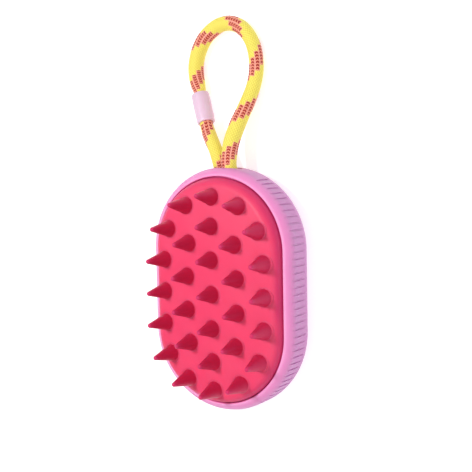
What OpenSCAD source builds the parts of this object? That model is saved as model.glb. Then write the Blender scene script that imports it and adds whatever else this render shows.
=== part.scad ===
// Hand-held pet bath brush: a soft bristle pad in a two-part palm housing, with a cord wrist loop.
// It lies on its back: +Z points out of the bristles and +Y towards the wrist loop.
// The origin is at the middle of the flat back. Lengths are in millimetres.

/* [Housing] */
// Width of the housing
body_w = 82; // [74:1:96]
// Length of the housing, without the loop
body_l = 122; // [108:1:150]
// Height of the lip's crest above the back
shell_h = 24; // [21.5:0.5:30]
// Wall thickness of both shells
wall = 2.4; // [2:0.1:3]
// Radius of the rounded edge between the lip and the side
shoulder_r = 6; // [4:0.5:7]
// Radius of the rounded edge round the back
back_r = 10; // [8:0.5:12]
// Width of the lip round the pad
lip_w = 4.4; // [3.8:0.1:5.4]
// Radius of the lip's inner edge
lip_edge_r = 0.6; // [0.3:0.1:1]
// Height of the seam between the front shell and the back cover
seam_z = 5; // [4:0.5:6]
// Chamfer that makes the seam's fine groove
seam_chamfer = 0.35; // [0.2:0.05:0.6]

/* [Grip grooves] */
// Distance between two grip grooves along the side
groove_pitch = 3.4; // [3:0.1:5]
// Width of a grip groove
groove_w = 1; // [0.6:0.1:1.6]
// Depth of a grip groove
groove_d = 0.5; // [0.3:0.05:0.8]
// How far the grooves reach each way from the middle, along the side
groove_reach = 62; // [30:1:66]
// Distance from the lip's crest to the grooves' upper ends
groove_drop = 2.6; // [2:0.1:6]
// Length of a grip groove down the side
groove_l = 12; // [8:0.5:14]

/* [Bristle pad] */
// Height of the pad's middle above the lip's crest
pad_rise = 6; // [4:0.2:8]
// How much lower the pad is at its edge than at its middle
pad_crown = 1.6; // [0:0.1:2.5]
// Radius of the pad's rounded edge
pad_edge_r = 4.2; // [2:0.1:5]
// Thickness of the pad over the carrier, at its middle
pad_t = 4; // [3.4:0.1:5]
// Thickness of the skirt round the carrier
skirt_t = 3; // [2:0.1:4]
// Depth of the skirt below the lip's crest
skirt_depth = 2.2; // [1.8:0.1:2.4]
// Thickness of the hem under the carrier's rim
hem_t = 1.6; // [1:0.1:2]

/* [Bristles] */
// Height of a bristle of the outer ring; all tips lie at the same level
bristle_h = 14; // [8:0.5:18]
// Radius of a bristle at its foot
bristle_foot_r = 4.3; // [3:0.1:5.5]
// Radius of a bristle's round tip
bristle_tip_r = 1.2; // [0.6:0.1:1.6]
// Radius of the fillet round a bristle's foot
bristle_fillet = 0.6; // [0.2:0.1:1]
// Radius of the inner ring of bristles
inner_ring_r = 14.5; // [12:0.5:16]
// Distance from the outer ring of bristles to the pad's edge
outer_ring_inset = 7.5; // [6:0.5:10]
// Bristles in the inner ring
inner_count = 10; // [6:2:12]
// Bristles in the outer ring
outer_count = 16; // [10:2:18]
// Bristles in the middle row
middle_count = 3; // [1:2:3]
// Distance between two bristles of the middle row
middle_pitch = 17; // [14:0.5:19]
// Distance of the bristle field from the housing's middle, away from the loop
bristle_shift = 1; // [0:0.2:2]
// Outward lean of the outer ring, in degrees
outer_lean = 4.5; // [0:0.5:8]
// Outward lean of the inner ring, in degrees
inner_lean = 1; // [0:0.5:4]

/* [Carrier and screws] */
// Thickness of the carrier plate
carrier_t = 2; // [1.6:0.1:2.4]
// Width of the rim under the carrier's edge
carrier_rim_w = 2.2; // [1.6:0.1:3]
// Thickness of the ledge in the front shell
ledge_t = 1.6; // [1.2:0.1:2]
// Radius of the screws' shanks
screw_r = 1.4; // [1.2:0.1:1.6]
// Radius of the screws' heads
screw_head_r = 2.6; // [2.2:0.1:3]
// Height of the screws' heads
screw_head_h = 1.8; // [1.2:0.1:2.2]
// Wall of the screw bosses
boss_wall = 1.3; // [1:0.1:1.6]

/* [Cord] */
// Diameter of the cord
cord_d = 7.6; // [6:0.1:8.4]
// Clearance round the cord in its port
port_clear = 0.4; // [0.2:0.1:0.8]
// Chamfer round the mouth of the port
port_chamfer = 0.8; // [0.4:0.1:1.2]
// Height of each strand above or below the port's middle
strand_z = 1.3; // [0.6:0.1:1.8]
// Length of the stopper that holds the cord's ends
stopper_l = 9; // [7:0.5:12]
// Wall of the stopper round the cord
stopper_wall = 0.9; // [0.7:0.1:1.4]
// How far the stopper reaches past the cord to each side, to bear on the housing
stopper_wing = 2; // [1.5:0.5:3]
// Length of the sleeve on the loop
sleeve_l = 17; // [10:0.5:17.5]
// Wall of the sleeve round the cord
sleeve_wall = 0.6; // [0.4:0.1:1]

/* [Hidden] */

$fn = 64;
fit = 0.1;          // gap between two pieces that seat in each other
pad_gap = 0.3;      // gap between the pad and the lip
swing_gap = 0.3;    // gap between the cord's tails and the loop, which swings
screw_gap = 0.3;    // gap between a screw's shank and the ledge
stopper_gap = 0.2;  // gap between the cord's stopper and the ledge above it
boss_gap = 0.4;     // gap between a screw boss and the pad's hem
head_margin = 1;    // how far the ledge reaches past a screw's head
seat_proud = 0.4;   // how far the stopper's seat stands out from the wall, at its ends
overlap = 0.6;      // how far a feature reaches into the solid that carries it
skin = 0.02;        // how far outside a surface a shallow cut starts
arc_steps = 8;      // pieces of a rounded edge in a profile

// The outline is a racetrack: two half rounds, joined by straight sides of this half length.
core = (body_l - body_w) / 2;
half_w = body_w / 2;
opening_r = half_w - lip_w;
inner_r = half_w - wall;

// The shoulder's arc runs from the side up to the lip's crest.
crest_r = opening_r + lip_edge_r;
shoulder_sweep = acos(min(1, max(0, (crest_r - half_w + shoulder_r) / shoulder_r)));
shoulder_z = shell_h - shoulder_r * sin(shoulder_sweep);

// Heights that the pieces share
ledge_z = shell_h - skirt_depth;
ledge_low = ledge_z - ledge_t;
pad_top = shell_h + pad_rise;
carrier_top = pad_top - pad_t;
hem_top = ledge_z + hem_t;

// Distances from the racetrack's middle line
pad_r = opening_r - pad_gap;
pad_flat_r = pad_r - pad_edge_r;
carrier_r = pad_r - skirt_t - fit;
hem_in = carrier_r - carrier_rim_w;
boss_r = screw_r + boss_wall;
screw_track = hem_in - boss_r - boss_gap;
ledge_in = screw_track - screw_head_r - head_margin;
outer_ring_r = pad_r - outer_ring_inset;
bristle_core = core - bristle_shift;

// Tongue of the back cover inside the front shell, with a bead that snaps into a groove
tongue_t = 1.6;
tongue_h = 3.4;
tongue_top = seam_z + tongue_h;
tongue_room = 0.8;   // room above the tongue
wall_rise = 1;       // the shell's inside is upright from this height above the back's rounding
bead = 0.35;
bead_z = seam_z + 1.6;
rim_r = side_r(seam_z) - wall;
tongue_r = rim_r - fit;

// Stiffening ribs of the back cover and the carrier
rib_t = 1.5;
rib_h = 1.2;
palm_rib_pitch = 20;     // between the back cover's lengthwise ribs
palm_rib_reach = 12;     // how far those run past the straight sides
palm_rib_row = 6;        // how far past the straight sides the outer cross ribs lie
carrier_rib_pitch = 20;  // between the carrier's lengthwise ribs
carrier_rib_row = 8;     // how far past the straight sides its outer cross ribs lie
carrier_rib_gap = 0.6;   // between the carrier's ribs and the ledge's level
carrier_rib_inset = 2;   // between the carrier's ribs and the ledge's edge

// Screws
boss_floor = 0.8;    // what is left of a boss above its hole
screw_short = 1.8;   // how far a screw ends below the carrier's face

// Cord: two strands side by side in the port, one a little higher than the other
cord_r = cord_d / 2;
strand_x = sqrt(pow(cord_r + fit / 2, 2) - strand_z * strand_z);
stopper_x = strand_x + stopper_wing;
stopper_r = cord_r + strand_z + stopper_wall;
stopper_floor = 1;   // what is left of the stopper behind the cord's ends
port_z = ledge_low - stopper_gap - stopper_r;    // the stopper lies just under the ledge
port_r = cord_r + strand_z + port_clear;
strands = [[strand_x, port_z + strand_z], [-strand_x, port_z - strand_z]];
stopper_low = port_z - stopper_r;
seat_x = stopper_x + stopper_r;
seat_y = core + sqrt(inner_r * inner_r - seat_x * seat_x) - seat_proud;
stopper_out = seat_y - fit;
stopper_in = stopper_out - stopper_l;
tail_in = stopper_in + stopper_floor;
tail_out = body_l / 2 + swing_gap;
cradle_y = stopper_in - fit;

// The loop swings about a line through its upper end, just outside the port.
pivot_y = tail_out + swing_gap + cord_r;

// The loop's middle line from the right strand round to the left one, in distances across,
// out from the pivot, and up from where the cord lies on the surface under the brush. The
// heights are those of a port whose middle is this far above the lying cord's middle.
route_rise = 10.2;
sleeve_run = [[-21.7, 34.7, 1.3], [-15.3, 17.6, 4.8]];
loop_points = concat(
    [[2.5, 4.4, 10.5], [2.6, 9, 9], [4.1, 15.8, 6.5], [6.2, 22.4, 4.2], [8.4, 29, 2],
     [10.6, 35.7, 0.6], [12, 43, 0], [11.8, 50, 0], [10, 57, 0], [6.3, 62.8, 0],
     [1.5, 66.4, 0], [-4.5, 67.9, 0], [-10.8, 66.8, 0], [-17.4, 62.4, 0], [-21.7, 56, 0],
     [-23.8, 49, 0], [-23.9, 43.5, 0.3], [-22.9, 38, 0.9]],
    sleeve_run,
    [[-13, 12.8, 6], [-10.6, 8.6, 6.9], [-8.2, 4.8, 7.8], [-6, 1.8, 8.6]]);
function lay(p) = [p[0], pivot_y + p[1], cord_r + p[2] * (port_z - cord_r) / route_rise];
route = concat(
    [[strand_x, pivot_y, port_z + strand_z]],
    [for (p = loop_points) lay(p)],
    [[-strand_x, pivot_y, port_z - strand_z]]);
cord_sides = 12;
cord_caps = [30, 60];    // rings of the round ends, in degrees

// Distance of the housing's outside from the middle line, at height z
function side_r(z) =
    z < back_r ? half_w - back_r + sqrt(max(0, back_r * back_r - (back_r - z) * (back_r - z)))
    : z > shoulder_z
      ? half_w - shoulder_r + sqrt(max(0, shoulder_r * shoulder_r - pow(z - shoulder_z, 2)))
    : half_w;

// Points of an arc in a profile, from angle a to angle b
function arc(centre, r, a, b) =
    [for (i = [0:arc_steps]) centre + r * [cos(a + (b - a) * i / arc_steps),
                                           sin(a + (b - a) * i / arc_steps)]];

// Height of the pad's face at distance r from the middle line
function pad_z(r) = pad_top - pad_crown * pow(r / pad_flat_r, 2);

// Height of a bristle that stands at distance r from the middle line
function bristle_height(r) = bristle_h + pad_z(outer_ring_r) - pad_z(r);

// Sweeps a profile of (distance from the middle line, height) round the racetrack
module racetrack() {
    for (turn = [0, 180])
        rotate([0, 0, turn])
            translate([0, core, 0])
                rotate_extrude(angle = 180) children();
    if (core > 0)
        for (flip = [0, 1])
            mirror([flip, 0, 0])
                translate([0, core, 0])
                    rotate([90, 0, 0])
                        linear_extrude(2 * core) children();
}

// Puts its children at distance s along the side of the racetrack, facing out of it
module along_side(s) {
    turn = max(0, abs(s) - core) / half_w * 180 / PI;
    translate([0, sign(s) * min(abs(s), core), 0])
        rotate([0, 0, sign(s) * turn]) children();
}

// Prism along Y from y_low to y_high whose ends are round: a racetrack lying on its side
module slot(x, r, y_low, y_high) {
    for (side = [-x, x])
        translate([side, y_low, port_z])
            rotate([-90, 0, 0]) cylinder(r = r, h = y_high - y_low);
    translate([-x, y_low, port_z - r]) cube([2 * x, y_high - y_low, 2 * r]);
}

// ---- Front shell: lip, ribbed side, ledge for the carrier and port for the cord ----

module front_profile() {
    foot_z = seam_z + seam_chamfer;
    polygon(concat(
        [[rim_r, seam_z], [side_r(foot_z) - seam_chamfer, seam_z]],
        [for (i = [0:arc_steps]) let (z = foot_z + (back_r - foot_z) * i / arc_steps)
            [side_r(z), z]],
        arc([half_w - shoulder_r, shoulder_z], shoulder_r, 0, shoulder_sweep),
        arc([crest_r, shell_h - lip_edge_r], lip_edge_r, 90, 180),
        [[opening_r, ledge_z], [ledge_in, ledge_z], [ledge_in, ledge_low],
         [inner_r, ledge_low], [inner_r, back_r + wall_rise],
         [rim_r, tongue_top + tongue_room],
         [rim_r, bead_z + 2 * bead], [rim_r + bead, bead_z + bead],
         [rim_r + bead, bead_z], [rim_r, bead_z - bead]]));
}

// One grip groove, to be cut from the side; it follows the side's curve and fades at both ends
module groove() {
    steps = 7;
    high = shell_h - groove_drop;
    rotate([90, 0, 0])
        linear_extrude(groove_w, center = true)
            polygon(concat(
                [[half_w + overlap, high - groove_l], [half_w + overlap, high]],
                [for (i = [0:steps]) let (z = high - groove_l * i / steps)
                    [side_r(z) + skin - groove_d * sqrt(sin(180 * i / steps)), z]]));
}

module grooves() {
    count = floor(groove_reach / groove_pitch);
    for (flip = [0, 1], i = [-count:count])
        mirror([flip, 0, 0]) along_side(i * groove_pitch) groove();
}

// The opening for the cord, with a chamfered mouth
module port() {
    mouth = 2 * port_chamfer;
    mouth_y = body_l / 2 - port_chamfer;
    port_x = strand_x - port_clear;
    slot(port_x, port_r, seat_y - overlap, body_l / 2 + overlap);
    for (x = [-port_x, port_x])
        translate([x, mouth_y, port_z])
            rotate([-90, 0, 0]) cylinder(r1 = port_r, r2 = port_r + mouth, h = mouth);
    translate([-port_x, mouth_y, port_z])
        rotate([90, 0, 90])
            linear_extrude(2 * port_x)
                polygon([[0, -port_r], [0, port_r],
                         [mouth, port_r + mouth], [mouth, -port_r - mouth]]);
}

// Flat seat inside the wall for the stopper, and the pocket that it lies in
module seat() {
    intersection() {
        translate([-seat_x, seat_y, stopper_low])
            cube([2 * seat_x, body_l / 2 - seat_y, ledge_low + overlap - stopper_low]);
        racetrack() square([inner_r + overlap, shell_h]);
    }
}

module pocket() {
    slot(stopper_x, stopper_r + fit, stopper_in, seat_y);
}

module screw_places() {
    for (side = [-1, 1]) {
        translate([side * screw_track, 0, 0]) children();
        for (end = [-1, 1])
            translate([side * screw_track * cos(45), end * (core + screw_track * sin(45)), 0])
                children();
    }
}

module front_shell() {
    color("#ea93c8")
        difference() {
            union() {
                racetrack() front_profile();
                seat();
            }
            grooves();
            pocket();
            port();
            screw_places()
                translate([0, 0, ledge_low - overlap])
                    cylinder(r = screw_r + screw_gap, h = ledge_t + 2 * overlap);
        }
}

// ---- Back cover: the palm side, with a tongue and the cradle of the stopper ----

module back_profile() {
    inside = tongue_r - tongue_t;
    inner_arc = back_r - wall;
    low = half_w - back_r;
    polygon(concat(
        [[0, 0]],
        [for (i = [0:arc_steps]) let (z = (seam_z - seam_chamfer) * pow(i / arc_steps, 2))
            [side_r(z), z]],
        [[side_r(seam_z) - seam_chamfer, seam_z], [tongue_r, seam_z],
         [tongue_r, bead_z - bead], [tongue_r + bead, bead_z], [tongue_r + bead, bead_z + bead],
         [tongue_r, bead_z + 2 * bead], [tongue_r, tongue_top], [inside, tongue_top]],
        [for (i = [arc_steps:-1:0]) let (r = low + (inside - low) * i / arc_steps)
            [r, back_r - sqrt(inner_arc * inner_arc - (r - low) * (r - low))]],
        [[0, wall]]));
}

// Low ribs that stiffen the palm side
module palm_ribs() {
    reach_x = half_w - back_r;
    reach_y = core + palm_rib_reach;
    for (x = [-1, 0, 1] * palm_rib_pitch)
        translate([x - rib_t / 2, -reach_y, wall - overlap])
            cube([rib_t, 2 * reach_y, rib_h + overlap]);
    for (y = [-1, 0, 1] * (core + palm_rib_row))
        translate([-reach_x, y - rib_t / 2, wall - overlap])
            cube([2 * reach_x, rib_t, rib_h + overlap]);
}

// Two rails that carry the stopper, and a wall behind it
module cradle() {
    rail_x = stopper_x - rib_t;
    for (x = [-rail_x, rail_x])
        translate([x - rib_t / 2, cradle_y - overlap, wall - overlap])
            cube([rib_t, stopper_l, stopper_low - fit - wall + overlap]);
    translate([-seat_x, cradle_y - rib_t, wall - overlap])
        cube([2 * seat_x, rib_t, port_z - wall + overlap]);
}

module back_cover() {
    color("#e58cc4") {
        difference() {
            racetrack() back_profile();
            // the tongue is lower where the stopper and its seat are
            translate([-seat_x - fit, cradle_y, stopper_low - fit])
                cube([2 * (seat_x + fit), body_l / 2 - cradle_y, tongue_h]);
        }
        palm_ribs();
        cradle();
    }
}

// ---- Pad carrier: the stiff plate inside the pad ----

// Ribs across the carrier's underside
module carrier_ribs() {
    rib_low = ledge_z + carrier_rib_gap;
    rib_top = carrier_top - overlap;
    reach_x = ledge_in - carrier_rib_inset;
    reach_y = core + reach_x;
    for (x = [-1, 1] * carrier_rib_pitch / 2)
        translate([x - rib_t / 2, -reach_y, rib_low])
            cube([rib_t, 2 * reach_y, rib_top - rib_low]);
    for (y = [-1, 0, 1] * (core + carrier_rib_row))
        translate([-reach_x, y - rib_t / 2, rib_low])
            cube([2 * reach_x, rib_t, rib_top - rib_low]);
}

module pad_carrier() {
    color("#d8d8dc")
        difference() {
            union() {
                racetrack()
                    polygon([[0, carrier_top - carrier_t], [hem_in, carrier_top - carrier_t],
                             [hem_in, hem_top], [carrier_r, hem_top], [carrier_r, carrier_top],
                             [0, carrier_top]]);
                screw_places()
                    translate([0, 0, ledge_z + fit])
                        cylinder(r = boss_r, h = carrier_top - overlap - ledge_z - fit);
                carrier_ribs();
            }
            screw_places()
                translate([0, 0, ledge_z])
                    cylinder(r = screw_r + fit / 2, h = carrier_top - boss_floor - ledge_z);
        }
}

module carrier_screws() {
    edge = 0.6;      // rounded edge of the head, as a chamfer
    head_low = ledge_low - screw_head_h;
    color("#b9bcc2")
        screw_places() {
            translate([0, 0, head_low])
                cylinder(r1 = screw_head_r - edge, r2 = screw_head_r, h = edge);
            translate([0, 0, head_low + edge])
                cylinder(r = screw_head_r, h = screw_head_h - edge);
            translate([0, 0, ledge_low - edge])
                cylinder(r = screw_r, h = carrier_top - screw_short - ledge_low + edge);
        }
}

// ---- Bristle pad: one soft moulding with its skirt, hem and bristles ----

// Point on a ring of bristles, d along it from the end nearest the loop
function ring_point(d, r) =
    let (quarter = r * PI / 2, side = 2 * bristle_core)
    d <= quarter ? [r * sin(d / r * 180 / PI), bristle_core + r * cos(d / r * 180 / PI)]
    : d <= quarter + side ? [r, bristle_core - (d - quarter)]
    : d <= 3 * quarter + side
      ? let (a = (d - quarter - side) / r * 180 / PI) [r * cos(a), -bristle_core - r * sin(a)]
    : d <= 3 * quarter + 2 * side ? [-r, -bristle_core + (d - 3 * quarter - side)]
    : let (a = (d - 3 * quarter - 2 * side) / r * 180 / PI)
      [-r * cos(a), bristle_core + r * sin(a)];

// One bristle: a straight cone with a fillet round its foot and a round tip
module bristle(height) {
    slope = height - bristle_tip_r;
    rotate_extrude()
        polygon(concat(
            [[0, -overlap], [bristle_foot_r + bristle_fillet, -overlap]],
            [for (a = [270:-30:180])
                [bristle_foot_r, 0] + bristle_fillet * [1 + cos(a), 1 + sin(a)]],
            [for (a = [0:30:60])
                [bristle_tip_r * cos(a), slope + bristle_tip_r * sin(a)]],
            [[0, height]]));
}

module bristle_ring(r, count, lean) {
    length = 4 * bristle_core + 2 * PI * r;
    for (i = [0:count - 1]) {
        p = ring_point(length * i / count, r);
        out = atan2(sign(p[1]) * max(0, abs(p[1]) - bristle_core), p[0]);
        translate([p[0], p[1], pad_z(r)])
            rotate([0, 0, out]) rotate([0, lean, 0]) bristle(bristle_height(r));
    }
}

module bristle_pad() {
    face_steps = 5;
    color("#ff4b78") {
        racetrack()
            polygon(concat(
                [for (i = [0:face_steps - 1]) let (r = pad_flat_r * i / face_steps)
                    [r, pad_z(r)]],
                arc([pad_flat_r, pad_z(pad_flat_r) - pad_edge_r], pad_edge_r, 90, 0),
                [[pad_r, ledge_z], [hem_in + fit, ledge_z], [hem_in + fit, hem_top],
                 [carrier_r + fit, hem_top], [carrier_r + fit, carrier_top + fit],
                 [0, carrier_top + fit]]));
        translate([0, -bristle_shift, 0]) {
            for (i = [0:middle_count - 1])
                translate([0, (i - (middle_count - 1) / 2) * middle_pitch, pad_z(0)])
                    bristle(bristle_height(0));
            bristle_ring(inner_ring_r, inner_count, inner_lean);
            bristle_ring(outer_ring_r, outer_count, outer_lean);
        }
    }
}

// ---- Cord ----

// Holds both ends of the cord behind the port
module cord_stopper() {
    color("#f2f2f2")
        difference() {
            slot(stopper_x, stopper_r, stopper_in, stopper_out);
            for (p = strands)
                translate([p[0], tail_in, p[1]])
                    rotate([-90, 0, 0]) cylinder(r = cord_r + fit, h = stopper_l);
        }
}

// The cord's two ends, from the stopper out through the port
module cord_tails() {
    color("#f7e24f")
        for (p = strands)
            translate([p[0], tail_in, p[1]])
                rotate([-90, 0, 0]) cylinder(r = cord_r, h = tail_out - tail_in);
}

// Direction of the route at its point i
function way(i) =
    let (v = route[min(i + 1, len(route) - 1)] - route[max(i - 1, 0)]) v / norm(v);

// One ring of points round the route's point i, moved by shift along the route
function cord_ring(i, r, shift = 0) =
    let (t = way(i), side = cross(t, [0, 0, 1]), across = side / norm(side),
         up = cross(across, t))
    [for (k = [0:cord_sides - 1]) let (a = 360 * k / cord_sides)
        route[i] + shift * t + r * cos(a) * across + r * sin(a) * up];

// The loop: a tube along the route, with a round end at each pivot
module cord_loop() {
    last = len(route) - 1;
    n = cord_sides;
    rings = concat(
        [for (a = cord_caps) cord_ring(0, cord_r * sin(a), -cord_r * cos(a))],
        [for (i = [0:last]) cord_ring(i, cord_r)],
        [for (i = [len(cord_caps) - 1:-1:0]) let (a = cord_caps[i])
            cord_ring(last, cord_r * sin(a), cord_r * cos(a))]);
    count = len(rings);
    points = concat([route[0] - cord_r * way(0)], [for (ring = rings) each ring],
                    [route[last] + cord_r * way(last)]);
    end = len(points) - 1;
    last_ring = end - n;
    faces = concat(
        [for (k = [0:n - 1]) [0, 1 + (k + 1) % n, 1 + k]],
        [for (j = [0:count - 2], k = [0:n - 1])
            let (a = 1 + j * n + k, b = 1 + j * n + (k + 1) % n)
            each [[a, b, b + n], [a, b + n, a + n]]],
        [for (k = [0:n - 1]) [end, last_ring + k, last_ring + (k + 1) % n]]);
    color("#f7e24f") polyhedron(points, faces, convexity = 6);
}

// The sleeve: a tube with soft edges on the loop's straight run
module cord_sleeve() {
    low_end = lay(sleeve_run[0]);
    high_end = lay(sleeve_run[1]);
    run = (high_end - low_end) / norm(high_end - low_end);
    bore_r = cord_r + fit / 2;
    outer_r = cord_r + sleeve_wall;
    edge = (outer_r - bore_r) / 2;
    half = sleeve_l / 2;
    color("#f6cfe6")
        translate((low_end + high_end) / 2)
            rotate([0, acos(run[2]), atan2(run[1], run[0])])
                rotate_extrude()
                    polygon([[bore_r, -half], [outer_r - edge, -half], [outer_r, edge - half],
                             [outer_r, half - edge], [outer_r - edge, half], [bore_r, half]]);
}

front_shell();
back_cover();
pad_carrier();
bristle_pad();
carrier_screws();
cord_stopper();
cord_tails();
cord_loop();
cord_sleeve();
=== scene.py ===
import bmesh
import bpy
from math import atan2, cos, floor, pi, radians, sin, sqrt
from mathutils import Matrix, Vector


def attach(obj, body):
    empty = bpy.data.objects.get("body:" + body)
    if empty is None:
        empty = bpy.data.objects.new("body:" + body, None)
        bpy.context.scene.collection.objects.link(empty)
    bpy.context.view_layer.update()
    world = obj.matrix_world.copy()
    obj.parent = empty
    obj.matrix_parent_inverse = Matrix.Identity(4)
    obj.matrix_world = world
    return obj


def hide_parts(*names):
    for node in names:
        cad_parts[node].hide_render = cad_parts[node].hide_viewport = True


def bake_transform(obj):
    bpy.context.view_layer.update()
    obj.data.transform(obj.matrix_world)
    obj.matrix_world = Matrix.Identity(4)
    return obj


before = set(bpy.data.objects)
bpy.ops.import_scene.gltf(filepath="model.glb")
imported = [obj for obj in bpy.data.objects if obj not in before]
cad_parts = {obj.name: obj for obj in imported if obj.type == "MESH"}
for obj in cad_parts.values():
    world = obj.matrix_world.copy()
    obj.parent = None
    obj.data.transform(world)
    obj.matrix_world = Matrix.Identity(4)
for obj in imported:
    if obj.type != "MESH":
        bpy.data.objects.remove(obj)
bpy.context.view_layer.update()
mm = 0.001

camera = {
    "place": (0.2459, 0.0646, 0.3918),   # in metres
    "right": (0.8435, -0.0194, -0.5368),
    "up": (-0.0291, 0.9962, -0.0816),
    "back": (0.5363, 0.0845, 0.8398),
    "lens": 68.64,
    "sensor": 36,
    "near": 10 * mm,
}


def placeCamera():
    data = bpy.data.cameras.new("brushCamera")
    data.lens = camera["lens"]
    data.sensor_width = camera["sensor"]
    data.clip_start = camera["near"]
    seen = bpy.data.objects.new("brushCamera", data)
    bpy.context.collection.objects.link(seen)
    axes = Matrix((camera["right"], camera["up"], camera["back"])).transposed()
    turned = axes.to_quaternion().to_matrix().to_4x4()
    turned.translation = camera["place"]
    seen.matrix_world = turned
    bpy.context.scene.camera = seen
    print("camera placed")


placeCamera()


def nothingSelected():
    if bpy.context.object and bpy.context.object.mode != "OBJECT":
        bpy.ops.object.mode_set(mode="OBJECT")
    bpy.ops.object.select_all(action="DESELECT")


def editOn(piece):
    nothingSelected()
    bpy.context.view_layer.objects.active = piece
    piece.select_set(True)
    bpy.ops.object.mode_set(mode="EDIT")


def editOff():
    bpy.ops.object.mode_set(mode="OBJECT")


def pick(piece, kind, wanted):
    bpy.ops.mesh.select_mode(type=kind)
    bpy.ops.mesh.select_all(action="DESELECT")
    mesh = bmesh.from_edit_mesh(piece.data)
    for part in {"VERT": mesh.verts, "EDGE": mesh.edges, "FACE": mesh.faces}[kind]:
        part.select_set(wanted(part))
    mesh.select_flush_mode()
    bmesh.update_edit_mesh(piece.data)


def cleanUp(piece):  # doubles merged, faces outwards
    editOn(piece)
    bpy.ops.mesh.select_all(action="SELECT")
    bpy.ops.mesh.remove_doubles(threshold=0.002 * mm)
    bpy.ops.mesh.normals_make_consistent(inside=False)
    editOff()


def smooth(piece, angle=40):
    nothingSelected()
    bpy.context.view_layer.objects.active = piece
    piece.select_set(True)
    bpy.ops.object.shade_smooth_by_angle(angle=radians(angle))


def addRacetrack(name, radius, core, height, corners):
    # a circle pulled apart into two half rounds with straight sides between them
    nothingSelected()
    bpy.ops.mesh.primitive_circle_add(vertices=corners, radius=radius, fill_type="NGON",
                                      location=(0, 0, height))
    piece = bpy.context.object
    piece.name = name
    bpy.ops.object.transform_apply(location=True, rotation=True, scale=True)
    editOn(piece)
    for end in (1, -1):
        pick(piece, "VERT", lambda v: v.co.y * end > 0)
        bpy.ops.transform.translate(value=(0, end * core, 0))
    editOff()
    return piece


def newGroup(name, inputs, outputs):
    tree = bpy.data.node_groups.new(name, "ShaderNodeTree")
    for label, kind, value in inputs:
        socket = tree.interface.new_socket(name=label, in_out="INPUT", socket_type=kind)
        socket.default_value = value
    for label, kind in outputs:
        tree.interface.new_socket(name=label, in_out="OUTPUT", socket_type=kind)
    return tree, tree.nodes.new("NodeGroupInput"), tree.nodes.new("NodeGroupOutput")


def feed(tree, socket, value):  # a link where the value comes from a node, or else a fixed value
    if isinstance(value, bpy.types.NodeSocket):
        tree.links.new(value, socket)
    else:
        socket.default_value = value


def node(tree, kind, values=None, **settings):
    made = tree.nodes.new(kind)
    for name, value in settings.items():
        setattr(made, name, value)
    for name, value in (values or {}).items():
        feed(tree, made.inputs[name], value)
    return made


def calc(tree, operation, first, second=0.0, third=0.0):
    made = node(tree, "ShaderNodeMath", operation=operation)
    for i, value in enumerate((first, second, third)):
        feed(tree, made.inputs[i], value)
    return made.outputs[0]


def mixColour(tree, share, first, second):
    made = node(tree, "ShaderNodeMix", data_type="RGBA")
    for i, value in ((0, share), (6, first), (7, second)):   # the node's sockets for colours
        feed(tree, made.inputs[i], value)
    return made.outputs[2]


def rangeOf(tree, value, low, high):  # 0 below low, 1 above high, and smooth between them
    made = node(tree, "ShaderNodeMapRange", {"Value": value, "From Min": low, "From Max": high},
                interpolation_type="SMOOTHSTEP")
    return made.outputs[0]


def newMaterial(name, **values):
    material = bpy.data.materials.new(name)
    material.use_nodes = True
    tree = material.node_tree
    shader = tree.nodes["Principled BSDF"]
    for label, value in values.items():
        shader.inputs[label.replace("_", " ")].default_value = value
    return material, tree, shader


def place(tree, group, **values):
    made = node(tree, "ShaderNodeGroup", node_tree=group)
    for label, value in values.items():
        feed(tree, made.inputs[label.replace("_", " ")], value)
    return made


def grey(value):
    return (value, value, value, 1)


def makeMouldGrain():
    # fine grain of a moulded surface, and broad soft patches
    tree, start, end = newGroup(
        "mouldGrain",
        [("Grain Scale", "NodeSocketFloat", 3000), ("Patch Scale", "NodeSocketFloat", 60),
         ("Patch Share", "NodeSocketFloat", 0.3)],
        [("Height", "NodeSocketFloat"), ("Patch", "NodeSocketFloat")])
    where = node(tree, "ShaderNodeTexCoord").outputs["Object"]
    fine = node(tree, "ShaderNodeTexNoise", {"Vector": where, "Detail": 3, "Roughness": 0.55,
                                             "Scale": start.outputs["Grain Scale"]})
    broad = node(tree, "ShaderNodeTexNoise", {"Vector": where, "Detail": 2, "Roughness": 0.5,
                                              "Scale": start.outputs["Patch Scale"]})
    soft = rangeOf(tree, broad.outputs[0], 0.35, 0.65)
    height = calc(tree, "MULTIPLY_ADD", soft, start.outputs["Patch Share"], fine.outputs[0])
    tree.links.new(height, end.inputs["Height"])
    tree.links.new(soft, end.inputs["Patch"])
    return tree


def makeHeightTint():
    # one colour low on the object, another high on it, with an uneven border
    tree, start, end = newGroup(
        "heightTint",
        [("Low Colour", "NodeSocketColor", grey(0.5)),
         ("High Colour", "NodeSocketColor", grey(0.8)),
         ("Low Height", "NodeSocketFloat", 0), ("High Height", "NodeSocketFloat", 20 * mm),
         ("Uneven", "NodeSocketFloat", 1 * mm)],
        [("Colour", "NodeSocketColor")])
    where = node(tree, "ShaderNodeTexCoord").outputs["Object"]
    split = node(tree, "ShaderNodeSeparateXYZ", {"Vector": where})
    wobble = node(tree, "ShaderNodeTexNoise", {"Vector": where, "Scale": 90.0, "Detail": 2})
    off = calc(tree, "SUBTRACT", wobble.outputs[0], 0.5)
    height = calc(tree, "MULTIPLY_ADD", off, start.outputs["Uneven"], split.outputs["Z"])
    share = rangeOf(tree, height, start.outputs["Low Height"], start.outputs["High Height"])
    mixed = mixColour(tree, share, start.outputs["Low Colour"], start.outputs["High Colour"])
    tree.links.new(mixed, end.inputs["Colour"])
    return tree


mouldGrain = makeMouldGrain()
heightTint = makeHeightTint()
print("shared effects made")


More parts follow.
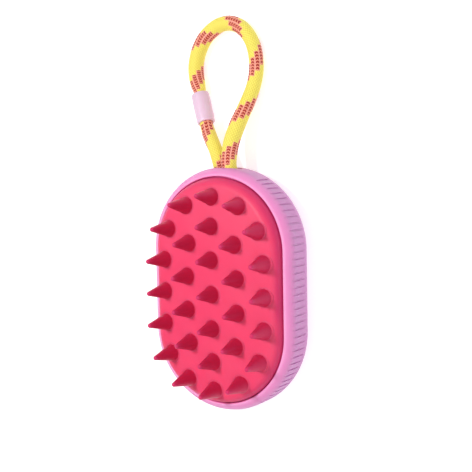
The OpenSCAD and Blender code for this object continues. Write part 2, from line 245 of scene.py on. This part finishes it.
def mouldedSkin(tree, shader, finish, relief=None):
    # finish["grain"]: scale of the grain, scale of the patches, and their share of the height
    # finish["rough"]: the least roughness, and what the patches add to it
    # finish["bump"]: strength and depth; relief is a height that is added to the grain's
    scale, patchScale, patchShare = finish["grain"]
    grain = place(tree, mouldGrain, Grain_Scale=scale, Patch_Scale=patchScale,
                  Patch_Share=patchShare)
    least, added = finish["rough"]
    rough = calc(tree, "MULTIPLY_ADD", grain.outputs["Patch"], added, least)
    tree.links.new(rough, shader.inputs["Roughness"])
    height = grain.outputs["Height"]
    if relief is not None:
        height = calc(tree, "ADD", relief, height)
    strength, depth = finish["bump"]
    bump = node(tree, "ShaderNodeBump",
                {"Strength": strength, "Distance": depth, "Height": height})
    tree.links.new(bump.outputs["Normal"], shader.inputs["Normal"])
    return grain.outputs["Patch"]


def tinted(tree, low, high, levels):
    # levels: where the low colour ends, where the high one starts, and how uneven that is
    made = place(tree, heightTint, Low_Colour=low, High_Colour=high, Low_Height=levels[0],
                 High_Height=levels[1], Uneven=levels[2])
    return made.outputs["Colour"]


cord = {
    "diameter": 7.6 * mm,
    "around": 96,             # faces round the cord
    "step": 0.3 * mm,         # length of one face
    "carriers": 16,           # strands of the braid in each direction
    "lay": 26 * mm,           # one full turn of a strand
    "relief": 0.2 * mm,       # how far the strands stand out
    "dip": 0.45,              # share of that by which one is lower where it goes under another
    "turn": 22.3 * mm,        # one full turn of the row of marks
    "marks": 9,               # marks in one turn
    "markLength": 8.2 * mm,
    "markWidth": 0.8,         # share of the distance between two marks
    "markRelief": 0.12 * mm,
    "markFade": 0.5 * mm,     # length over which a mark rises at its ends
    "markEdge": 0.12,         # and width at its sides, as a share like markWidth
    "stitch": 1.3 * mm,       # length of one stitch in a mark
    "stitchDip": 0.4,         # half the share of the relief that is lost between two stitches
    "stitchLean": 0.6,        # how far a stitch leans in the relief
    "stitchSlant": 1.1,       # and in the colours
    "stitchReach": 0.05,      # how far a stitch comes out of the mark's side, as a share too
    "markTurn": 47.5,         # where the first mark lies, in degrees from the loop's outside
    # how the cord is twisted as it lies: place along it in mm, turns of the row, and marks
    "twist": [(0, 2.83, 0.6), (18, 2.03, 0.5), (42, 1.01, 0.1), (67.5, 0, 0.06), (89, -0.87, 0.15),
              (111, -1.83, 0.05), (134, -2.72, 0.52), (150, -3.39, 1.17), (164, -3.86, 0.75),
              (183, -4.71, 0.65), (200, -5.49, 0.6)],
    "yellow": (0.915, 0.82, 0.137, 1),
    # painted shade: amber where the braid's strands lie low, in the gaps between them
    "gapShadeAmber": (0.72, 0.53, 0.06, 1),
    "red": (0.91, 0.33, 0.21, 1),
    "darkRed": (0.38, 0.022, 0.018, 1),
    "halo": (0.95, 0.37, 0.34, 1),
    "haloShare": 0.92,
    "straw": (0.88, 0.76, 0.14, 1),
    "strawShare": 0.25,
    # from none to full: the yellow up the braid's height, the red up a stitch's, and the marks
    # and their halo from outside to inside, with ends in turns and sides in shares like markWidth
    "yellowFrom": (0.2, 0.9),
    "redFrom": (-0.2, 0.9),
    "markFrom": {"ends": (-0.004, 0.012), "sides": (-0.03, 0.05)},
    "haloFrom": {"ends": (-0.02, 0.02), "sides": (-0.36, -0.04)},
    "fibre": {"Scale": 9, "Distortion": 1.5, "Detail": 2},
    "fibreHeight": 0.4,
    "grain": (2500, 120, 0.2),
    "rough": (0.56, 0.1),
    "bump": (0.35, 0.08 * mm),
    # in metres: the two ends of the hinge line, and where it leaves the housing
    "hinge": [(0, 0.061, 0.0153), (0, 0.070, 0.0153)],
    "exit": (0.003, 0.061, 0.0155),
}
# the cord's middle line in mm, each point with its share of the full diameter
cordRoute = [
    ((3.3, 48.8, 15.3), 1), ((3.3, 53, 15.3), 1), ((3.2, 57.5, 15.4), 1), ((2.5, 61.3, 15.7), 1),
    ((2.3, 65, 15.4), 1.02), ((2.2, 69.8, 14.2), 1.06), ((2.6, 74.4, 12.8), 1.09),
    ((4.1, 81.2, 10.3), 1.09), ((6.2, 87.8, 8), 1.04), ((8.4, 94.4, 5.8), 1),
    ((10.6, 101.1, 4.4), 0.97), ((12, 108.4, 3.8), 0.97), ((11.8, 115.4, 3.8), 0.97),
    ((10, 122.4, 3.8), 0.97), ((6.3, 128.2, 3.8), 0.97), ((1.5, 131.8, 3.8), 0.98),
    ((-4.5, 133.3, 3.8), 0.99), ((-10.8, 132.2, 3.9), 1.01), ((-17.4, 127.8, 4), 1.04),
    ((-21.8, 121.4, 4.15), 1.06), ((-24, 114.4, 4.2), 1.06), ((-24.1, 108.9, 4.25), 1.06),
    ((-22.9, 104, 4.7), 1.03), ((-21.6, 100.6, 5.1), 0.87), ((-20.5, 97.2, 5.7), 0.8),
    ((-16.9, 86.8, 7.8), 0.81), ((-15.1, 82.2, 8.9), 0.9), ((-13.1, 78.2, 9.8), 0.94),
    ((-11.1, 74.8, 10.6), 0.94), ((-9.4, 72, 11.2), 0.94), ((-7.7, 69, 11.7), 0.95),
    ((-6, 65, 12.1), 0.97), ((-4.7, 61.3, 12.4), 0.99), ((-3.9, 57.5, 12.6), 1),
    ((-3.9, 53, 12.7), 1), ((-3.9, 48.8, 12.7), 1),
]


def smoothRoute(points, step):
    # a smooth line through the points, cut into even steps; each result is (place, share)
    rows = [Vector((*p, share)) for p, share in points]
    rows = [2 * rows[0] - rows[1], *rows, 2 * rows[-1] - rows[-2]]
    fine, cuts = [], 40
    for a, b, c, d in zip(rows, rows[1:], rows[2:], rows[3:]):
        for i in range(cuts):
            t = i / cuts
            fine.append(0.5 * (2 * b + (c - a) * t + (2 * a - 5 * b + 4 * c - d) * t * t
                               + (3 * b - a - 3 * c + d) * t ** 3))
    fine.append(rows[-2])
    spans = [(q.xyz - p.xyz).length for p, q in zip(fine, fine[1:])]
    count = round(sum(spans) * mm / step)
    even, walked, i = [], 0.0, 0
    for k in range(count + 1):
        target = sum(spans) * k / count
        while i < len(spans) - 1 and walked + spans[i] < target:
            walked += spans[i]
            i += 1
        t = min(1, (target - walked) / spans[i])
        even.append(fine[i].lerp(fine[i + 1], t))
    return [(row.xyz * mm, row.w) for row in even]


def markRow(s):  # where the row of marks starts round the cord and along it, at this length
    twist = cord["twist"]
    for (low, turns, marks), (high, nextTurns, nextMarks) in zip(twist, twist[1:]):
        if s / mm <= high or high == twist[-1][0]:
            t = (s / mm - low) / (high - low)
            turns += (nextTurns - turns) * t
            marks += (nextMarks - marks) * t
            break
    start = 0.5 - cord["markTurn"] / 360 * cord["marks"] - marks
    return start, marks / cord["marks"] - turns


def braidRise(turn, s):  # how high the braid's strands lie here, from 0 to 1
    one = cord["carriers"] * (turn + s / cord["lay"])
    other = cord["carriers"] * (turn - s / cord["lay"])
    top, under = (one, other) if (floor(one) + floor(other)) % 2 else (other, one)
    dipped = 1 - cord["dip"] + cord["dip"] * sin(pi * (under % 1))
    return sqrt(max(0, sin(pi * (top % 1)))) * dipped


def markRise(u, v):  # how far the marking yarns stand out here, from 0 to 1
    column = floor(u)
    phase = (v + column / cord["marks"] + 0.5) % 1 - 0.5
    toEnd = cord["markLength"] / 2 - abs(phase) * cord["turn"]
    toSide = cord["markWidth"] / 2 - abs(u - column - 0.5)
    inside = min(1, max(0, toEnd / cord["markFade"]))
    beside = min(1, max(0, toSide / cord["markEdge"]))
    wave = sin(2 * pi * (v * cord["turn"] / cord["stitch"] + cord["stitchLean"] * u))
    return inside * beside * (1 - cord["stitchDip"] + cord["stitchDip"] * wave)


def makeCord():
    line = smoothRoute(cordRoute, cord["step"])
    places = [p for p, share in line]
    step = sum((q - p).length for p, q in zip(places, places[1:])) / (len(places) - 1)
    n, marks = cord["around"], cord["marks"]
    verts, faces, heights, rows = [], [], [], []
    for i, (p, share) in enumerate(line):
        along = (places[min(i + 1, len(places) - 1)] - places[max(i - 1, 0)]).normalized()
        front = (Vector((0, 0, 1)) - along * along.z).normalized()
        out = along.cross(front)
        s = i * step
        rows.append(markRow(s))
        for k in range(n):
            a = 2 * pi * k / n
            rise = braidRise(k / n, s)
            lift = markRise(rows[-1][0] + marks * k / n, rows[-1][1]) * cord["markRelief"]
            r = share * cord["diameter"] / 2 - cord["relief"] * (1 - rise) + lift
            verts.append(p + (out * cos(a) + front * sin(a)) * r)
            heights.append(rise)
    rings = len(line)
    for i in range(rings - 1):
        for k in range(n):
            m = (k + 1) % n
            faces.append((i * n + k, i * n + m, (i + 1) * n + m, (i + 1) * n + k))
    faces.append(list(reversed(range(n))))
    faces.append(list(range((rings - 1) * n, rings * n)))
    mesh = bpy.data.meshes.new("braidedCord")
    mesh.from_pydata(verts, [], faces)
    uv = mesh.uv_layers.new(name="braidMap")
    for i in range(rings - 1):
        for k in range(n):
            for c, (di, dk) in enumerate(((0, 0), (0, 1), (1, 1), (1, 0))):
                u, v = rows[i + di]
                uv.data[(i * n + k) * 4 + c].uv = (u + marks * (k + dk) / n, v)
    lifted = mesh.attributes.new("braidHeight", "FLOAT", "POINT")
    lifted.data.foreach_set("value", heights)
    piece = bpy.data.objects.new("braidedCord", mesh)
    bpy.context.collection.objects.link(piece)
    for polygon in mesh.polygons:
        polygon.use_smooth = True
    return piece, places, step * (len(places) - 1)


def makeYarnMarks():
    # where the marking yarns show, the stitches in them and the tint round them
    tree, start, end = newGroup(
        "yarnMarks",
        [("Count", "NodeSocketFloat", cord["marks"]),
         ("Length", "NodeSocketFloat", cord["markLength"] / cord["turn"]),
         ("Width", "NodeSocketFloat", cord["markWidth"]),
         ("Stitches", "NodeSocketFloat", cord["turn"] / cord["stitch"])],
        [("Yarn", "NodeSocketFloat"), ("Stitch", "NodeSocketFloat"), ("Halo", "NodeSocketFloat")])
    where = node(tree, "ShaderNodeUVMap", uv_map="braidMap").outputs[0]
    split = node(tree, "ShaderNodeSeparateXYZ", {"Vector": where})
    u, v = split.outputs["X"], split.outputs["Y"]
    column = calc(tree, "FLOOR", u)
    sideways = calc(tree, "ABSOLUTE", calc(tree, "SUBTRACT", calc(tree, "FRACT", u), 0.5))
    shifted = calc(tree, "ADD", v, calc(tree, "DIVIDE", column, start.outputs["Count"]))
    wrapped = calc(tree, "FRACT", calc(tree, "ADD", shifted, 100.5))   # 100 keeps it above 0
    along = calc(tree, "ABSOLUTE", calc(tree, "SUBTRACT", wrapped, 0.5))
    half = calc(tree, "MULTIPLY", start.outputs["Length"], 0.5)
    halfWide = calc(tree, "MULTIPLY", start.outputs["Width"], 0.5)
    # a stitch leans one way on the left of the mark's middle and the other way on the right
    slant = calc(tree, "MULTIPLY_ADD", v, start.outputs["Stitches"],
                 calc(tree, "MULTIPLY", sideways, cord["stitchSlant"]))
    wave = calc(tree, "SINE", calc(tree, "MULTIPLY", slant, 2 * pi))
    wide = calc(tree, "MULTIPLY_ADD", wave, cord["stitchReach"], halfWide)
    toEnd = calc(tree, "SUBTRACT", half, along)
    toSide = calc(tree, "SUBTRACT", wide, sideways)
    for label, soft in (("Yarn", cord["markFrom"]), ("Halo", cord["haloFrom"])):
        within = calc(tree, "MULTIPLY", rangeOf(tree, toEnd, *soft["ends"]),
                      rangeOf(tree, toSide, *soft["sides"]))
        tree.links.new(within, end.inputs[label])
    tree.links.new(rangeOf(tree, wave, *cord["redFrom"]), end.inputs["Stitch"])
    return tree


def cordMaterial():
    material, tree, shader = newMaterial("braidedCordYellow", Specular_IOR_Level=0.3,
                                         Sheen_Weight=0.15, Sheen_Roughness=0.5)
    marks = place(tree, makeYarnMarks())
    along = node(tree, "ShaderNodeUVMap", uv_map="braidMap").outputs[0]
    fibre = node(tree, "ShaderNodeTexWave", {"Vector": along, **cord["fibre"]},
                 bands_direction="DIAGONAL")
    relief = calc(tree, "MULTIPLY", fibre.outputs["Fac"], cord["fibreHeight"])
    patch = mouldedSkin(tree, shader, cord, relief)
    height = node(tree, "ShaderNodeAttribute", attribute_name="braidHeight").outputs["Fac"]
    # painted shade: amber in the braid's low gaps, yellow on its high strands
    raised = rangeOf(tree, height, *cord["yellowFrom"])
    yellow = mixColour(tree, raised, cord["gapShadeAmber"], cord["yellow"])
    strawShare = calc(tree, "MULTIPLY", patch, cord["strawShare"])
    mottled = mixColour(tree, strawShare, yellow, cord["straw"])
    haloShare = calc(tree, "MULTIPLY", marks.outputs["Halo"], cord["haloShare"])
    haloed = mixColour(tree, haloShare, mottled, cord["halo"])
    red = mixColour(tree, marks.outputs["Stitch"], cord["darkRed"], cord["red"])
    whole = mixColour(tree, marks.outputs["Yarn"], haloed, red)
    tree.links.new(whole, shader.inputs["Base Color"])
    return material


def finishCord():
    piece, places, length = makeCord()
    piece.data.materials.append(cordMaterial())
    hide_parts("cord_tails", "cord_loop")
    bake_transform(piece)
    print("cord made,", round(length * 1000), "mm long")
    return piece, places, length


cordPiece, cordPlaces, cordLength = finishCord()


sleeve = {
    "ends": [(-21.4, 99.2, 5.3), (-15.3, 83, 8.6)],   # the straight run it sits on, in mm
    "length": 16.2 * mm,
    "radius": 4.6 * mm,
    "bulge": 0.12 * mm,
    "wall": 1.5 * mm,
    "rim": 0.5 * mm,
    "rimRows": 3,
    "corners": 64,
    "rings": (-0.8, -0.5, -0.15, 0.2, 0.55, 0.82),    # as shares of its half length
    "bulging": 0.6,           # the share of its length that bulges
    # painted light: pink low on the sleeve, paler high on it where the light falls
    "pink": (0.70, 0.46, 0.60, 1),
    "paleHighlight": (0.78, 0.56, 0.70, 1),
    "levels": (2 * mm, 13 * mm, 4 * mm),
    "grain": (1400, 150, 0.4),
    "rough": (0.34, 0.12),
    "bump": (0.12, 0.06 * mm),
}


def makeSleeve():
    low, high = (Vector(p) * mm for p in sleeve["ends"])
    nothingSelected()
    bpy.ops.mesh.primitive_cylinder_add(vertices=sleeve["corners"], radius=sleeve["radius"],
                                        depth=sleeve["length"], end_fill_type="NOTHING")
    piece = bpy.context.object
    piece.name = "cordSleeve"
    half = sleeve["length"] / 2
    editOn(piece)
    for level in sleeve["rings"]:
        bpy.ops.mesh.select_all(action="SELECT")
        bpy.ops.mesh.bisect(plane_co=(0, 0, level * half), plane_no=(0, 0, 1))
    pick(piece, "VERT", lambda v: abs(v.co.z) < half * sleeve["bulging"])
    grown = 1 + sleeve["bulge"] / sleeve["radius"]
    bpy.ops.transform.resize(value=(grown, grown, 1), center_override=(0, 0, 0))
    editOff()
    wall = piece.modifiers.new("wall", "SOLIDIFY")
    wall.thickness = sleeve["wall"]
    wall.offset = -1
    bpy.ops.object.modifier_apply(modifier="wall")
    rim = piece.modifiers.new("rim", "BEVEL")
    rim.width = sleeve["rim"]
    rim.segments = sleeve["rimRows"]
    rim.limit_method = "ANGLE"
    rim.angle_limit = radians(50)
    bpy.ops.object.modifier_apply(modifier="rim")
    across = (high - low).to_track_quat("Z", "Y")
    piece.matrix_world = Matrix.Translation((low + high) / 2) @ across.to_matrix().to_4x4()
    bpy.ops.object.transform_apply(location=True, rotation=True, scale=True)
    cleanUp(piece)
    smooth(piece)
    return piece


def sleeveMaterial():
    material, tree, shader = newMaterial(
        "sleevePalePink", Specular_IOR_Level=0.5, Subsurface_Weight=0.35,
        Subsurface_Radius=(1, 0.5, 0.7), Subsurface_Scale=2 * mm)
    mouldedSkin(tree, shader, sleeve)
    # painted light: the sleeve's colour is paler towards the top
    tint = tinted(tree, sleeve["pink"], sleeve["paleHighlight"], sleeve["levels"])
    tree.links.new(tint, shader.inputs["Base Color"])
    return material


def finishSleeve():
    piece = makeSleeve()
    piece.data.materials.append(sleeveMaterial())
    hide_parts("cord_sleeve")
    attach(piece, "wrist_loop")
    print("sleeve made")
    return piece


sleevePiece = finishSleeve()


pad = {
    "core": 20 * mm,          # half length of the straight sides
    "radius": 36.1 * mm,
    "edge": 5.2 * mm,         # radius of the rounded edge
    "top": 30 * mm,
    "crown": 1.6 * mm,
    "foot": 21.8 * mm,
    # radii of the hem's inside and the skirt's inside, and the heights of their tops
    "hem": [31.1 * mm, 33.3 * mm, 23.4 * mm, 26.1 * mm],
    "corners": 126,
    "edgeRows": 10,
    "faceRows": 14,
    "pink": (0.83, 0.055, 0.150, 1),
    "patch": (0.84, 0.085, 0.17, 1),
    "patchShare": 0.18,
    # painted shade: a darker colour on the pad's rounded edge, and a magenta one on its wall down
    # in the groove under the lip
    "edgeShade": (0.64, 0.030, 0.135, 1),
    "groove": (0.80, 0.070, 0.260, 1),
    "deepLevels": (22.8 * mm, 25.2 * mm, 0.4 * mm),
    "pinkLevels": (25.5 * mm, 28.5 * mm, 0.6 * mm),
    "grain": (1800, 45, 0.5),
    "rough": (0.42, 0.1),
    "bump": (0.1, 0.08 * mm),
}
bristle = {
    "height": 14 * mm,        # of the outer ring; all tips lie at one level
    "foot": 4.3 * mm,
    "tip": 1.2 * mm,
    "fillet": 0.6 * mm,
    "root": 0.9 * mm,         # how far it reaches into the pad
    "sides": 40,
    "rows": (0.12, 0.25, 0.4, 0.55, 0.7, 0.85, 1),    # up the cone, as shares of its height
    "arcRows": 6,             # in the fillet, and in the tip
    "shift": 1 * mm,          # the field lies this far from the middle, away from the cord
    "middle": (3, 17 * mm),   # count and pitch of the middle row
    "rings": [(14.5 * mm, 10, 1), (28.8 * mm, 16, 4.5)],   # radius, count, lean in degrees
    "crimson": (0.55, 0.015, 0.068, 1),
    # painted highlight: the tips are a paler rose than the crimson cones
    "roseTipHighlight": (0.62, 0.035, 0.13, 1),
    "sheen": (0.9, 0.5, 1, 1),
    "levels": (38.5 * mm, 43.2 * mm, 2 * mm),
    "grain": (1600, 150, 0.4),
    "rough": (0.42, 0.12),
    "bump": (0.12, 0.08 * mm),
}


def padHeight(r):
    flat = pad["radius"] - pad["edge"]
    return pad["top"] - pad["crown"] * (r / flat) ** 2


def extrudeUp(rise):
    bpy.ops.mesh.extrude_region_move(TRANSFORM_OT_translate={"value": (0, 0, rise)})


def makePad():
    flat = pad["radius"] - pad["edge"]
    brow = padHeight(flat) - pad["edge"]
    piece = addRacetrack("bristlePad", pad["radius"], pad["core"], pad["foot"], pad["corners"])
    editOn(piece)
    pick(piece, "FACE", lambda f: True)
    extrudeUp(brow - pad["foot"])
    profile = [(pad["radius"], brow)]
    for i in range(1, pad["edgeRows"] + 1):
        a = radians(90 * i / pad["edgeRows"])
        profile.append((flat + pad["edge"] * cos(a), brow + pad["edge"] * sin(a)))
    for i in range(1, pad["faceRows"]):
        r = flat * (1 - i / pad["faceRows"])
        profile.append((r, padHeight(r)))
    for (r, z), (nextR, nextZ) in zip(profile, profile[1:]):
        bpy.ops.mesh.inset(thickness=r - nextR, depth=nextZ - z, use_even_offset=True)
    hem, skirt, hemTop, skirtTop = pad["hem"]
    pick(piece, "FACE", lambda f: f.calc_center_median().z < pad["foot"] + 0.1 * mm)
    bpy.ops.mesh.inset(thickness=pad["radius"] - hem, depth=0)
    extrudeUp(hemTop - pad["foot"])
    extrudeUp(0)
    widen(piece, skirt / hem)
    extrudeUp(skirtTop - hemTop)
    editOff()
    return piece


def widen(piece, ratio):  # what is selected grows about the two ends of the middle line
    mesh = bmesh.from_edit_mesh(piece.data)
    chosen = {v.index for v in mesh.verts if v.select}
    for end in (1, -1):
        pick(piece, "VERT", lambda v: v.index in chosen and v.co.y * end > 0)
        bpy.ops.transform.resize(value=(ratio, ratio, 1),
                                 center_override=(0, end * pad["core"], 0))
    pick(piece, "VERT", lambda v: v.index in chosen)
    bpy.ops.mesh.select_mode(type="FACE")


def bristleHeight(r):
    return bristle["height"] + padHeight(bristle["rings"][-1][0]) - padHeight(r)


def bristleProfile(height):  # a straight cone with a fillet round its foot and a round tip
    foot, tip, fillet = bristle["foot"], bristle["tip"], bristle["fillet"]
    slope, arc = height - tip, bristle["arcRows"]
    rows = [(foot + fillet, -bristle["root"])]
    for i in range(arc + 1):
        a = radians(270 - 90 * i / arc)
        rows.append((foot + fillet * (1 + cos(a)), fillet * (1 + sin(a))))
    for t in bristle["rows"]:
        rows.append((foot + (tip - foot) * t, slope * t))
    for i in range(1, arc):
        a = radians(90 * i / arc)
        rows.append((tip * cos(a), slope + tip * sin(a)))
    return rows


def makeBristle(height):
    rows = bristleProfile(height)
    nothingSelected()
    bpy.ops.mesh.primitive_circle_add(vertices=bristle["sides"], radius=rows[0][0],
                                      fill_type="NOTHING", location=(0, 0, rows[0][1]))
    piece = bpy.context.object
    bpy.ops.object.transform_apply(location=True, rotation=True, scale=True)
    editOn(piece)
    bpy.ops.mesh.select_all(action="SELECT")
    for (r, z), (nextR, nextZ) in zip(rows, rows[1:]):
        bpy.ops.mesh.extrude_edges_move(TRANSFORM_OT_translate={"value": (0, 0, nextZ - z)})
        bpy.ops.transform.resize(value=(nextR / r, nextR / r, 1), center_override=(0, 0, nextZ))
    bpy.ops.mesh.extrude_edges_move(
        TRANSFORM_OT_translate={"value": (0, 0, height - rows[-1][1])})
    bpy.ops.mesh.merge(type="CENTER")
    bpy.ops.mesh.select_all(action="SELECT")
    bpy.ops.mesh.normals_make_consistent(inside=False)
    editOff()
    piece.data.materials.append(bristleSkin)
    piece.data.materials.append(padSkin)
    for face in piece.data.polygons:    # the fillet is of the pad's colour
        face.material_index = 1 if face.center.z < bristle["fillet"] * 0.95 else 0
    return piece


def ringPoint(d, r, core):  # the point at distance d round a racetrack ring
    quarter, side = r * pi / 2, 2 * core
    if d <= quarter:
        return r * sin(d / r), core + r * cos(d / r)
    if d <= quarter + side:
        return r, core - (d - quarter)
    if d <= 3 * quarter + side:
        a = (d - quarter - side) / r
        return r * cos(a), -core - r * sin(a)
    if d <= 3 * quarter + 2 * side:
        return -r, -core + (d - 3 * quarter - side)
    a = (d - 3 * quarter - 2 * side) / r
    return -r * cos(a), core + r * sin(a)


def bristlePlaces():
    core = pad["core"] - bristle["shift"]
    count, pitch = bristle["middle"]
    found = [((0, (i - (count - 1) / 2) * pitch), 0, 0, 0) for i in range(count)]
    for r, count, lean in bristle["rings"]:
        length = 4 * core + 2 * pi * r
        for i in range(count):
            x, y = ringPoint(length * i / count, r, core)
            past = max(0, abs(y) - core) * (1 if y > 0 else -1)
            found.append(((x, y), r, atan2(past, x), radians(lean)))
    return found


def padMaterial():
    material, tree, shader = newMaterial(
        "siliconePadPink", Specular_IOR_Level=0.25, Subsurface_Weight=0.25,
        Subsurface_Radius=(1, 0.2, 0.25), Subsurface_Scale=3 * mm)
    patch = mouldedSkin(tree, shader, pad)
    # painted shade: groove colour lowest, the darker edge colour on the rounded edge, pink on the
    # top
    low = tinted(tree, pad["groove"], pad["edgeShade"], pad["deepLevels"])
    tint = tinted(tree, low, pad["pink"], pad["pinkLevels"])
    patchShare = calc(tree, "MULTIPLY", patch, pad["patchShare"])
    patched = mixColour(tree, patchShare, tint, pad["patch"])
    tree.links.new(patched, shader.inputs["Base Color"])
    return material


def bristleMaterial():
    material, tree, shader = newMaterial(
        "siliconeBristleCrimson", Specular_IOR_Level=0.32, Specular_Tint=bristle["sheen"],
        Subsurface_Weight=0.25, Subsurface_Radius=(1, 0.15, 0.2), Subsurface_Scale=2 * mm)
    mouldedSkin(tree, shader, bristle)
    # painted highlight: crimson up the cone, a paler rose at the tip
    tint = tinted(tree, bristle["crimson"], bristle["roseTipHighlight"], bristle["levels"])
    tree.links.new(tint, shader.inputs["Base Color"])
    return material


padSkin = padMaterial()
bristleSkin = bristleMaterial()


def finishPad():
    piece = makePad()
    piece.data.materials.append(padSkin)
    copies, patterns = [], {}
    for (x, y), r, out, lean in bristlePlaces():
        if r not in patterns:
            patterns[r] = makeBristle(bristleHeight(r))
        one = patterns[r].copy()
        one.data = patterns[r].data.copy()
        bpy.context.collection.objects.link(one)
        one.matrix_world = (Matrix.Translation((x, y - bristle["shift"], padHeight(r)))
                            @ Matrix.Rotation(out, 4, "Z") @ Matrix.Rotation(lean, 4, "Y"))
        copies.append(one)
    for pattern in patterns.values():
        bpy.data.objects.remove(pattern)
    nothingSelected()
    for one in copies:
        one.select_set(True)
    piece.select_set(True)
    bpy.context.view_layer.objects.active = piece
    bpy.ops.object.join()
    cleanUp(piece)
    smooth(piece, 50)
    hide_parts("bristle_pad")
    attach(piece, "brush")
    print("bristle pad made with", len(copies), "bristles")


finishPad()


housing = {
    "pink": (0.84, 0.27, 0.56, 1),
    # painted highlight: a paler pink along the top of the lip's crest
    "paleHighlight": (0.93, 0.37, 0.66, 1),
    # painted shade: lilac on the lower sides and the back, pink up at the lip; the plastic is one
    # pink
    "lilacShade": (0.56, 0.228, 0.495, 1),
    # painted shade with a red cast from the pad, on the lip's inner wall
    "lipShadeWine": (0.80, 0.16, 0.44, 1),
    "patch": (0.66, 0.31, 0.53, 1),
    "patchShare": 0.12,
    "pinkLevels": (17.8 * mm, 24.2 * mm, 1 * mm),
    "paleLevels": (23.3 * mm, 24 * mm, 0.2 * mm),
    "opening": 36.6 * mm,      # radius of the lip's inner wall
    "lipShadeReach": 0.7 * mm,         # how far the painted wine shade reaches past it
    "lipShadeLevels": (16 * mm, 18 * mm),     # below which there is none, above which it is full
    "grain": (2200, 70, 0.3),
    "rough": (0.4, 0.1),
    "bump": (0.1, 0.06 * mm),
}


def lipInside(tree):  # 1 inside the lip, where the painted shade goes, and 0 elsewhere
    where = node(tree, "ShaderNodeTexCoord").outputs["Object"]
    split = node(tree, "ShaderNodeSeparateXYZ", {"Vector": where}).outputs
    past = calc(tree, "MAXIMUM", calc(tree, "SUBTRACT", calc(tree, "ABSOLUTE", split["Y"]),
                                      pad["core"]), 0.0)
    across = calc(tree, "SQRT", calc(tree, "MULTIPLY_ADD", past, past,
                                     calc(tree, "MULTIPLY", split["X"], split["X"])))
    outside = rangeOf(tree, across, housing["opening"], housing["opening"] + housing["lipShadeReach"])
    return calc(tree, "MULTIPLY", calc(tree, "SUBTRACT", 1.0, outside),
                rangeOf(tree, split["Z"], *housing["lipShadeLevels"]))


def housingMaterial():
    material, tree, shader = newMaterial(
        "housingPink", Specular_IOR_Level=0.5, Subsurface_Weight=0.35,
        Subsurface_Radius=(1, 0.5, 0.8), Subsurface_Scale=3 * mm)
    patch = mouldedSkin(tree, shader, housing)
    # painted shade: lilac low on the housing, pink higher up
    tint = tinted(tree, housing["lilacShade"], housing["pink"], housing["pinkLevels"])
    # painted highlight along the lip's crest
    crestHighlighted = tinted(tree, tint, housing["paleHighlight"], housing["paleLevels"])
    patchShare = calc(tree, "MULTIPLY", patch, housing["patchShare"])
    patched = mixColour(tree, patchShare, crestHighlighted, housing["patch"])
    # painted shade: wine on the inner wall of the lip
    lipShaded = mixColour(tree, lipInside(tree), patched, housing["lipShadeWine"])
    tree.links.new(lipShaded, shader.inputs["Base Color"])
    return material


carrier = {
    "colour": (0.80, 0.80, 0.81, 1),
    "shade": (0.74, 0.74, 0.75, 1),
    "grain": (1500, 80, 0.3),
    "rough": (0.45, 0.1),
    "bump": (0.1, 0.06 * mm),
}
screws = {
    "colour": (0.60, 0.61, 0.63, 1),
    "shade": (0.52, 0.53, 0.55, 1),
    "grain": (3500, 400, 0.2),
    "rough": (0.28, 0.15),
    "bump": (0.15, 0.04 * mm),
}


def plainMaterial(name, finish, **values):
    material, tree, shader = newMaterial(name, **values)
    patch = mouldedSkin(tree, shader, finish)
    shade = mixColour(tree, patch, finish["colour"], finish["shade"])
    tree.links.new(shade, shader.inputs["Base Color"])
    return material


def dress(names, material):
    for name in names:
        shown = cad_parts[name]
        shown.data.materials.clear()
        shown.data.materials.append(material)


dress(["front_shell", "back_cover"], housingMaterial())
dress(["pad_carrier", "cord_stopper"], plainMaterial("carrierWhite", carrier))
dress(["carrier_screws"], plainMaterial("screwSteel", screws, Metallic=1))
print("housing dressed")


studio = {
    "floor": (0.70, 0.70, 0.70, 1),
    "patch": (0.69, 0.69, 0.69, 1),
    "patchScale": 4,
    "size": 4,
    "drop": 0.1 * mm,         # the floor lies this far below the brush
    "glow": 0.87,             # it is a sheet lit from below
    "sky": 0.44,
    "key": {"from": (-0.22, 0.3, 0.93), "distance": 0.9, "size": 0.12, "power": 4.6},
    "fill": {"from": (0.42, -0.3, 0.85), "distance": 1.1, "size": 1, "power": 3.7},
}


def floorMaterial():
    material, tree, shader = newMaterial(
        "paleFloor", Roughness=0.8, Specular_IOR_Level=0.2, Emission_Color=studio["floor"],
        Emission_Strength=studio["glow"])
    grain = place(tree, mouldGrain, Patch_Scale=studio["patchScale"])
    shade = mixColour(tree, grain.outputs["Patch"], studio["floor"], studio["patch"])
    tree.links.new(shade, shader.inputs["Base Color"])
    return material


def makeStudio():
    nothingSelected()
    bpy.ops.mesh.primitive_plane_add(size=studio["size"], location=(0, 0, -studio["drop"]))
    ground = bpy.context.object
    ground.name = "studioFloor"
    ground.data.materials.append(floorMaterial())
    world = bpy.context.scene.world or bpy.data.worlds.new("studioWorld")
    bpy.context.scene.world = world
    world.use_nodes = True
    sky = world.node_tree.nodes["Background"]
    sky.inputs["Color"].default_value = grey(1)
    sky.inputs["Strength"].default_value = studio["sky"]
    for name in ("key", "fill"):
        values = studio[name]
        lamp = bpy.data.lights.new(name + "Light", "AREA")
        lamp.size = values["size"]
        lamp.energy = values["power"]
        shown = bpy.data.objects.new(name + "Light", lamp)
        bpy.context.collection.objects.link(shown)
        towards = Vector(values["from"]).normalized()
        shown.matrix_world = (Matrix.Translation(towards * values["distance"])
                              @ towards.to_track_quat("Z", "Y").to_matrix().to_4x4())
    bpy.context.scene.view_settings.view_transform = "Standard"
    print("studio lit")


makeStudio()
